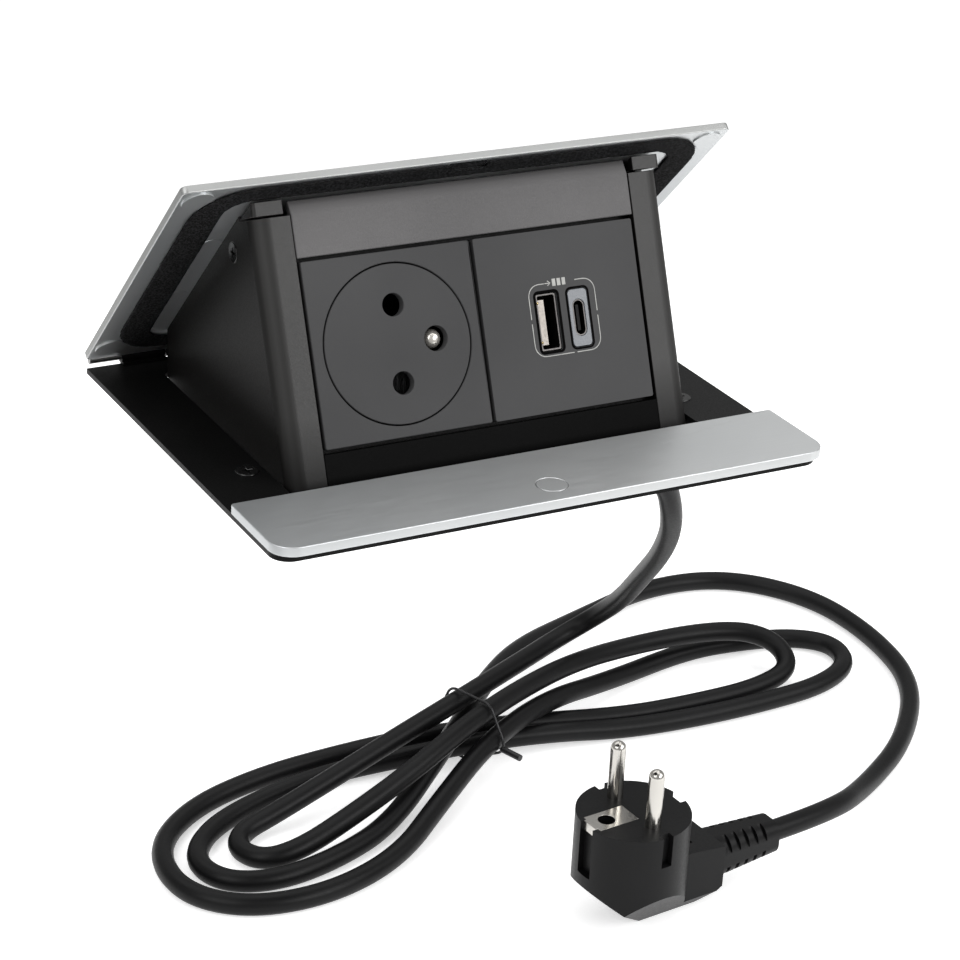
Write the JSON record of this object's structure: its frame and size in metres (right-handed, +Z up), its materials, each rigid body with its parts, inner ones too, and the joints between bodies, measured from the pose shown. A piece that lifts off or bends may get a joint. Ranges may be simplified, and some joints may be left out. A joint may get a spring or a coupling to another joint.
{
  "type": "pop up desk socket",
  "caption": "Pop up desk socket: a sprung silver lid swings up a wedge with a mains outlet and charging ports, with a cut-out flange, push spot, cord hank and plug.",
  "frame": {"origin": "middle of the flange's plan, on its underside, where it rests on the desk", "axes": "+X to the right along the hinge, +Y to the rear where the hinge is, +Z up out of the desk"},
  "size_m": [0.3315, 0.2679, 0.2569],
  "materials": {
    "black_sheet": "satin black",
    "satin_silver": "fine brushed satin",
    "silver_spot": "satin",
    "black_bed": "matt",
    "bright_steel": "bright",
    "dark_steel": "dark",
    "gold_contact": "plated",
    "foam": "speckled foam",
    "grey_buffer": "soft",
    "wedge_black": "satin black",
    "trim_grey": "fine textured grey",
    "face_grey": "matt",
    "black_plastic": "matt",
    "light_surround": "light blue grey",
    "board_green": "coated board",
    "cord_black": "satin"
  },
  "bodies": {
    "frame": {"base_flange": "black_sheet", "frame_collar": "black_sheet", "flange_screws": "dark_steel", "front_strip": "satin_silver", "strip_bed": "black_bed", "hinge_pin": "bright_steel", "hinge_springs": "dark_steel", "lifter_pin": "dark_steel", "button_spring": "dark_steel", "rear_bracket": "black_sheet", "gland_body": "black_plastic", "gland_dome": "black_plastic", "gland_locknut": "black_plastic", "terminal_box": "black_plastic", "terminal_screws": "dark_steel", "terminal_cable": "cord_black", "cord_drop": "cord_black", "cord_hank": "cord_black", "cord_tail": "cord_black", "cord_tie": "dark_steel", "plug_body": "cord_black", "plug_pins": "bright_steel", "plug_earth_plate": "bright_steel", "plug_side_clip": "bright_steel", "strain_relief": "cord_black"},
    "flap": {"lid_panel": "satin_silver", "lid_gasket": "foam", "lid_buffers": "grey_buffer", "hinge_leaves": "dark_steel", "side_panel_left": "wedge_black", "side_panel_right": "wedge_black", "corner_cap_left": "wedge_black", "corner_cap_right": "wedge_black", "front_rail": "wedge_black", "body_floor": "wedge_black", "stop_pads": "wedge_black", "rear_wall": "wedge_black", "top_trim": "trim_grey", "module_frame": "black_plastic", "body_screws": "dark_steel", "outlet_cover": "face_grey", "outlet_base": "black_plastic", "live_contacts": "gold_contact", "earth_pin": "bright_steel", "disc_spring": "dark_steel", "outlet_terminals": "black_plastic", "charger_cover": "face_grey", "charger_housing": "black_plastic", "charger_board": "board_green", "board_parts": "board_green", "usb_a_shell": "gold_contact", "usb_a_tongue": "gold_contact", "usb_c_surround": "light_surround", "usb_c_shell": "bright_steel", "usb_c_tongue": "gold_contact"},
    "disc": {"outlet_disc": "face_grey"},
    "button": {"push_button": "silver_spot"},
    "lifter": {"lifter_bar": "dark_steel"}
  },
  "joints": [
    {"name": "lid_hinge", "type": "hinge", "parent": "frame", "child": "flap", "pos_m": [0, 0.0612, 0.0032], "axis": [1, 0, 0], "range_deg": [0, 45], "stiffness_Nm_per_rad": 0.2, "springref_deg": -85.94},
    {"name": "disc_press", "type": "slide", "parent": "flap", "child": "disc", "axis": [0, 0.9272, -0.3746], "range_m": [0, 0.01], "stiffness_N_per_m": 150, "springref_m": -0.01, "deforming": ["disc_spring"]},
    {"name": "button_press", "type": "slide", "parent": "frame", "child": "button", "axis": [0, 0, -1], "range_m": [0, 0.00065], "stiffness_N_per_m": 1500, "springref_m": -0.0005, "deforming": ["button_spring"]},
    {"name": "lifter_rock", "type": "hinge", "parent": "frame", "child": "lifter", "pos_m": [0, -0.044, 0.00105], "axis": [1, 0, 0], "range_deg": [0, 3.55]}
  ],
  "couplings": [
    {"joint": "lifter_rock", "follows": "button_press", "rad_per_m": 95.238}
  ]
}
